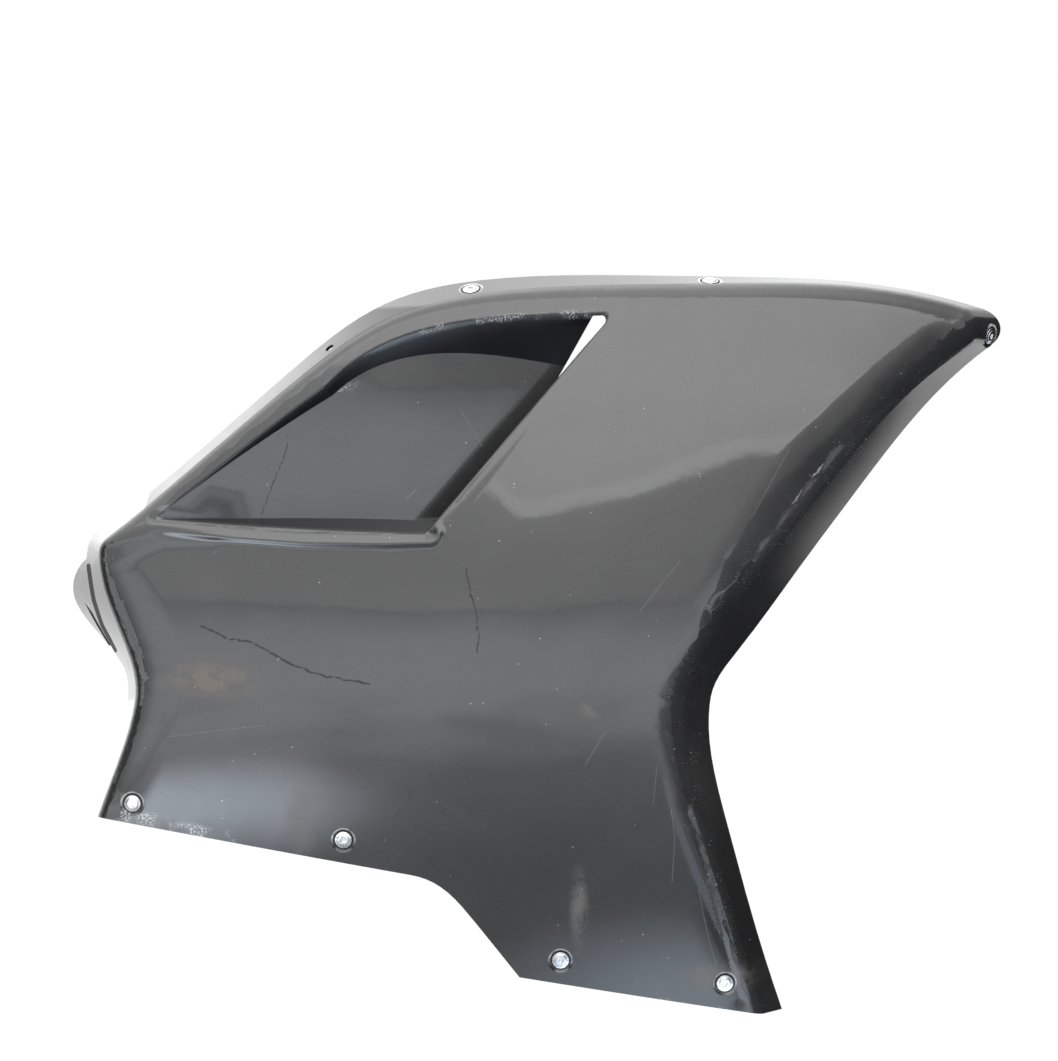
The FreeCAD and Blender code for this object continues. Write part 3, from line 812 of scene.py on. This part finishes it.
def card(name, corners, strength, colour=(1, 1, 1), glossy_only=True, fade=None):
    """A flat glowing card."""
    material, build, surface = empty_material(name)
    glow = build.add("ShaderNodeEmission")
    glow.inputs["Color"].default_value = colour + (1,)
    glow.inputs["Strength"].default_value = strength
    if fade:
        blend = build.add("ShaderNodeMixShader")
        place = build.add("ShaderNodeTexCoord").outputs["Object"]
        build.feed(blend.inputs[0], fade(build, place))
        build.feed(blend.inputs[1], build.add("ShaderNodeBsdfTransparent").outputs[0])
        build.feed(blend.inputs[2], glow.outputs[0])
        build.feed(surface, blend.outputs[0])
    else:
        build.feed(surface, glow.outputs[0])
    if glossy_only:
        material.cycles.emission_sampling = "NONE"
    item = flat_piece(name, corners, material)
    item.visible_camera = False
    item.visible_shadow = False
    item.visible_diffuse = not glossy_only


def spot(centre, inner, outer):
    """A fade from the middle of a card to nothing at its rim."""
    def fade(build, place):
        gap = build.vector("LENGTH", build.vector("SUBTRACT", place, centre))
        return build.ramp(gap, inner, outer, 1.0, 0.0)
    return fade


def edge_fade(axis, clear, full):
    """A fade from nothing at one place along an axis to full at another."""
    def fade(build, place):
        return build.ramp(build.axes(place)[axis], clear, full)
    return fade


def nose_fade(build, place):
    """A slanting fade: the rim of the front flank sees the nose card and its crease doesn't."""
    across = build.vector("DOT_PRODUCT", place, (-0.43, 0.90, 0.0))
    return build.product(build.ramp(across, -0.088, -0.040),
                         build.ramp(build.axes(place)[0], 0.28, 0.45))


def floor_fade(build, place):
    """Nothing by the panel, full further off, and cloudy."""
    forward = build.axes(place)[1]
    thin = build.ramp(forward, -2.6, -1.0, 0.95, 0.20)
    cloud = build.ramp(build.noise(place, 2.0, 2.0, 0.6), 0.36, 0.62, thin, 1.05)
    near = build.ramp(forward, -2.2, -0.45, 1.0, 0.0)
    far = build.ramp(forward, -9.5, -2.8, 0.35, 1.0)
    return build.product(near, far, cloud)


def level_card(name, x, y, z, strength, colour=(1, 1, 1), fade=None):
    """A level card between two places along X and two along Y."""
    card(name, [(x[0], y[0], z), (x[1], y[0], z), (x[1], y[1], z), (x[0], y[1], z)], strength,
         colour, fade=fade)


CARD_Y = -3.0
WAVY_EDGE = [(-0.25, 1.10), (-0.20, 0.48), (-0.13, 0.46), (-0.06, 0.50), (0.06, 0.36),
             (0.15, 0.28), (0.25, 0.28), (0.40, 0.33), (0.68, 0.44), (0.97, 0.57), (1.17, 0.65),
             (1.49, 0.69), (1.70, 0.79), (1.94, 1.10), (2.16, 1.30), (2.47, 1.53), (2.90, 1.75)]
CARD_TOP = [(2.9, 3.4), (-1.8, 3.4), (-1.8, 1.1)]
RIM = WAVY_EDGE[3:14]
RIM_WIDTH = 0.09
LAYER = 0.01
LOW = FLOOR + LAYER
HIGHER = LOW + LAYER
HIGHEST = LOW + 2 * LAYER


def front_cards():
    """The card whose wavy edge shows as the bright band, and the brighter rim along it."""
    card("front_card", [(x, CARD_Y, z) for x, z in WAVY_EDGE + CARD_TOP], 2.9, glossy_only=False)
    rim_y = CARD_Y + LAYER
    card("front_rim", [(x, rim_y, z) for x, z in RIM]
         + [(x, rim_y, z + RIM_WIDTH) for x, z in reversed(RIM)], 3.7)


def floor_cards():
    level_card("floor_card", (-8, 8), (-10, -0.4), LOW, 1.9, (0.97, 0.99, 1.0), floor_fade)
    card("left_spot", square(-0.52, -0.78, 0.45, HIGHER), 5.6, (0.80, 0.89, 1.0),
         fade=spot((-0.52, -0.78, HIGHER), 0.05, 0.42))
    card("right_spot", square(0.22, -0.08, 0.30, HIGHER), 2.4, (0.74, 0.86, 1.0),
         fade=spot((0.22, -0.08, HIGHER), 0.03, 0.28))
    level_card("left_floor", (-12, -0.30), (-0.1, 12), LOW, 1.6)
    level_card("right_floor", (0.42, 1.58), (-0.5, 4), LOW, 0.0)
    level_card("roll_floor", (0.62, 1.58), (-1.6, -0.4), HIGHEST, 0.0,
               fade=edge_fade(0, 0.62, 0.78))
    level_card("blue_strip", (0.46, 0.60), (-0.95, -0.25), HIGHEST, 1.4, (0.75, 0.88, 1.0))
    level_card("nose_card", (0.28, 1.0), (0.02, 0.8), -0.03, 1.1, fade=nose_fade)


def flags():
    """Upright black cards beside the panel."""
    card("right_flag", [(1.6, 4.0, FLOOR), (1.6, -2.0, FLOOR), (1.6, -2.0, 0.9), (1.6, 4.0, 1.1)],
         0.0, fade=edge_fade(1, -2.0, -1.62))
    card("low_flag", [(1.59, -1.6, FLOOR), (1.59, -2.9, FLOOR), (1.59, -2.9, 0.25),
                      (1.59, -1.6, 0.25)], 0.0, fade=edge_fade(2, 0.25, 0.05))
    card("left_flag", [(-1.35, -1.5, FLOOR), (-1.35, -0.2, FLOOR), (-1.35, -0.2, 0.5),
                       (-1.35, -1.5, 0.5)], 0.0, fade=edge_fade(1, -1.6, -0.9))


front_cards()
floor_cards()
flags()
